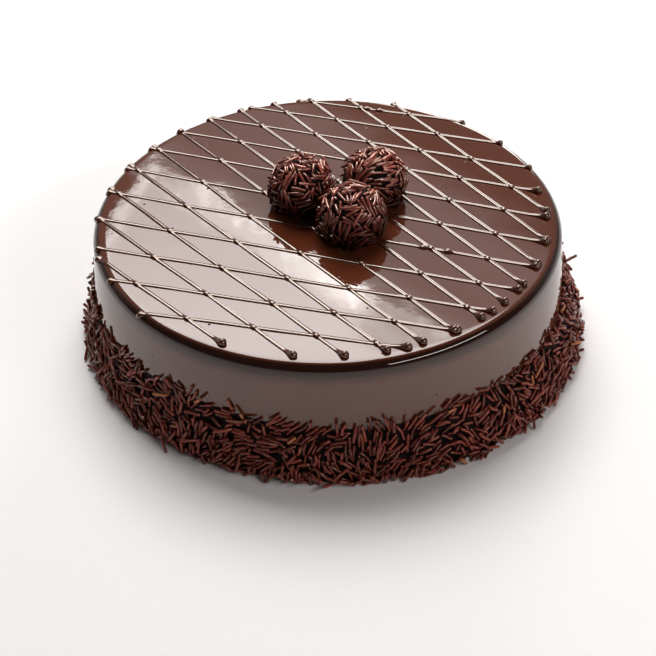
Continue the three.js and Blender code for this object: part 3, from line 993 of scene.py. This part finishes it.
def sprinkle_tree():
    """Turns points that carry aim, out, bow, long and thick into short round rods with cut ends."""
    tree, sizes = node_tree("sprinkle_coat", {"Sides": int, "Rod radius": float, "Material": bpy.types.Material})
    line = put(tree, "GeometryNodeCurvePrimitiveLine", {"Start": (-0.5, 0, 0), "End": (0.5, 0, 0)})
    stick = put(tree, "GeometryNodeResampleCurve", {"Curve": line, "Count": 5})
    along = put(tree, "GeometryNodeSplineParameter", out="Factor")
    eased = float_curve(tree, along, [(0, 0), (0.25, 0.04), (0.75, 0.96), (1, 1)])
    shifted = calc(tree, "SUBTRACT", eased, 0.5)
    stick = put(tree, "GeometryNodeSetPosition", {
        "Geometry": stick, "Position": put(tree, "ShaderNodeCombineXYZ", {"X": shifted}),
    })
    turn = put(tree, "FunctionNodeAxesToRotation", {
        "Primary Axis": named(tree, "aim", "FLOAT_VECTOR"), "Secondary Axis": named(tree, "out", "FLOAT_VECTOR"),
    }, primary_axis="X", secondary_axis="Z")
    size = put(tree, "ShaderNodeCombineXYZ", {"X": named(tree, "long"), "Y": 1.0, "Z": 1.0})
    sown = put(tree, "GeometryNodeInstanceOnPoints", {
        "Points": sizes["Geometry"], "Instance": stick, "Rotation": turn, "Scale": size,
    })
    rods = put(tree, "GeometryNodeRealizeInstances", {"Geometry": sown})
    centred = calc(tree, "MULTIPLY_ADD", along, 2.0, -1.0)
    arch = calc(tree, "SUBTRACT", 0.5, calc(tree, "MULTIPLY", centred, centred))
    bow = named(tree, "bow", "FLOAT_VECTOR")
    bend = put(tree, "ShaderNodeVectorMath", {0: bow, "Scale": arch}, operation="SCALE")
    bent = put(tree, "GeometryNodeSetPosition", {"Geometry": rods, "Offset": bend})
    taper = float_curve(tree, along, [(0, 0.7), (0.03, 1), (0.97, 1), (1, 0.7)])
    width = calc(tree, "MULTIPLY", taper, calc(tree, "MULTIPLY", named(tree, "thick"), sizes["Rod radius"]))
    ring = put(tree, "GeometryNodeCurvePrimitiveCircle", {"Resolution": sizes["Sides"], "Radius": 1.0})
    swept = put(tree, "GeometryNodeCurveToMesh", {
        "Curve": bent, "Profile Curve": ring, "Scale": width, "Fill Caps": True,
    })
    smooth = put(tree, "GeometryNodeSetShadeSmooth", {"Geometry": swept, "Shade Smooth": True})
    finish_tree(tree, smooth, sizes["Material"])
    return tree


rods_tree = sprinkle_tree()


def sprinkle_piece(name, rods, rod_radius, rng, bend, pale_share, finish):
    """One piece of sprinkles from laid rods, each with its own bend, tone and girth."""
    dust = mesh_object(name, [rod[0] for rod in rods], [])
    count = len(rods)
    bow = np.zeros((count, 3))
    for i, (_, aim, out, length) in enumerate(rods):
        swing = rng.uniform(-1, 1)
        bow[i] = (np.cross(aim, out) * swing + out * 0.25 * (1 - abs(swing))) * bend * length * rng.uniform(0.3, 1)
    tone = rng.beta(2.0, 2.6, count) * 0.95
    tone[rng.random(count) < pale_share] = 1.0
    for key, column in (("aim", 1), ("out", 2), ("long", 3)):
        carry(dust, key, [rod[column] for rod in rods])
    carry(dust, "bow", bow)
    carry(dust, "thick", rng.uniform(0.88, 1.1, count))
    carry(dust, "tone", tone)
    grow(dust, rods_tree, {"Sides": 7, "Rod radius": rod_radius, "Material": finish})
    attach(dust, "root")
    return dust


CURLED_SHARE, PALE_SHARE = 0.3, 0.015
rng = np.random.default_rng(23)
curled = rng.random(len(collar_heap.rods)) < CURLED_SHARE
for name, kind, bend in (("collar_sprinkles_straight", False, 0.05), ("collar_sprinkles_curled", True, 0.28)):
    rods = [rod for rod, is_curled in zip(collar_heap.rods, curled) if is_curled == kind]
    coat = sprinkle_piece(name, rods, COLLAR_ROD_RADIUS, rng, bend, PALE_SHARE, sprinkle_chocolate)
    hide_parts("glazed_cake")

# %% [markdown]
# ## The truffles
#
# Three balls rolled in sprinkles until hardly anything else shows. A ball that is rolled
# picks its sprinkles up lying flat, and neighbours lie alongside each other, so the coat is
# a patchwork of small rafts. The three share one heap, so that sprinkles of touching
# truffles make room for each other.

# %% Truffle hearts
TRUFFLE_HEART = 15.4 * MM
TRUFFLE_LUMP = 0.35 * MM
TRUFFLE_ROD_RADIUS = 0.72 * MM
TRUFFLE_ROD_LENGTHS = (5.5 * MM, 9.5 * MM)
TRUFFLE_LAYERS = ((3000, 1.4, 0.0), (1500, 2.3, 0.03), (300, 3.0, 0.06))
TRUFFLE_CENTRES = {"left": (-13.2, 11.0, 73.0), "right": (24.3, 15.8, 73.0), "front": (12.1, -16.1, 73.0)}


def truffle_heart(name, centre, seed):
    """A slightly lumpy ball of chocolate that has settled flat on the glaze, coloured near-black as painted shade.
    """
    mesh = bpy.data.meshes.new(name)
    ball = bmesh.new()
    bmesh.ops.create_icosphere(ball, subdivisions=5, radius=1.0)
    for v in ball.verts:
        x, y, z = v.co
        lump = math.sin(3.1 * x + seed) * math.cos(2.3 * y - seed) + math.sin(4.3 * z + 2 * seed) * math.cos(3.7 * x)
        v.co = Vector(centre) + v.co * (TRUFFLE_HEART + TRUFFLE_LUMP * lump)
        v.co.z = max(v.co.z, CAKE_HEIGHT + 0.1 * MM)
    for face in ball.faces:
        face.smooth = True
    ball.to_mesh(mesh)
    ball.free()
    heart = bpy.data.objects.new(name, mesh)
    bpy.context.scene.collection.objects.link(heart)
    # The heart takes the near-black colour that is painted shade for the gaps between sprinkles.
    heart.data.materials.append(gap_shade_material)
    return measure(heart)


def coat_truffle(heap, centre, rng, tries, highest, tipping, seed):
    """Lays rods all over one ball, above the glaze."""
    for _ in range(tries):
        out = unit(rng.normal(size=3))
        place = centre + out * TRUFFLE_HEART
        if place[2] < CAKE_HEIGHT + 0.6 * MM:
            continue
        east = unit(np.cross((0.2, 0.3, 1.0), out))
        north = np.cross(out, east)
        swirl = patch_angle(place, seed, 11 * MM) + rng.normal(0, 0.17)
        aim = east * math.cos(swirl) + north * math.sin(swirl)
        length = rng.uniform(*TRUFFLE_ROD_LENGTHS)
        most = highest * heap.rod_radius
        heap.lay(place, out, aim, length, 1 / TRUFFLE_HEART, most, rng.normal(0, tipping), 0.86)


truffle_heap = Heap(TRUFFLE_ROD_RADIUS, CAKE_HEIGHT, 1.2 * MM)
rng = np.random.default_rng(5)
shares = {}
for index, (side, centre) in enumerate(TRUFFLE_CENTRES.items()):
    begun = len(truffle_heap.rods)
    middle = np.array(centre) * MM
    for layer in TRUFFLE_LAYERS:
        coat_truffle(truffle_heap, middle, rng, *layer, index + 1.0)
    shares[side] = truffle_heap.rods[begun:]
print("sprinkles on the truffles:", {side: len(rods) for side, rods in shares.items()})

for index, (side, centre) in enumerate(TRUFFLE_CENTRES.items()):
    heart = truffle_heart(f"truffle_{side}_heart", [v * MM for v in centre], index + 1.0)
    name = f"truffle_{side}_sprinkles"
    coat = sprinkle_piece(name, shares[side], TRUFFLE_ROD_RADIUS, rng, 0.1, 0.004, truffle_chocolate)
    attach(heart, "root")
    for piece in (heart, coat):
        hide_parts(f"truffle_{side}")
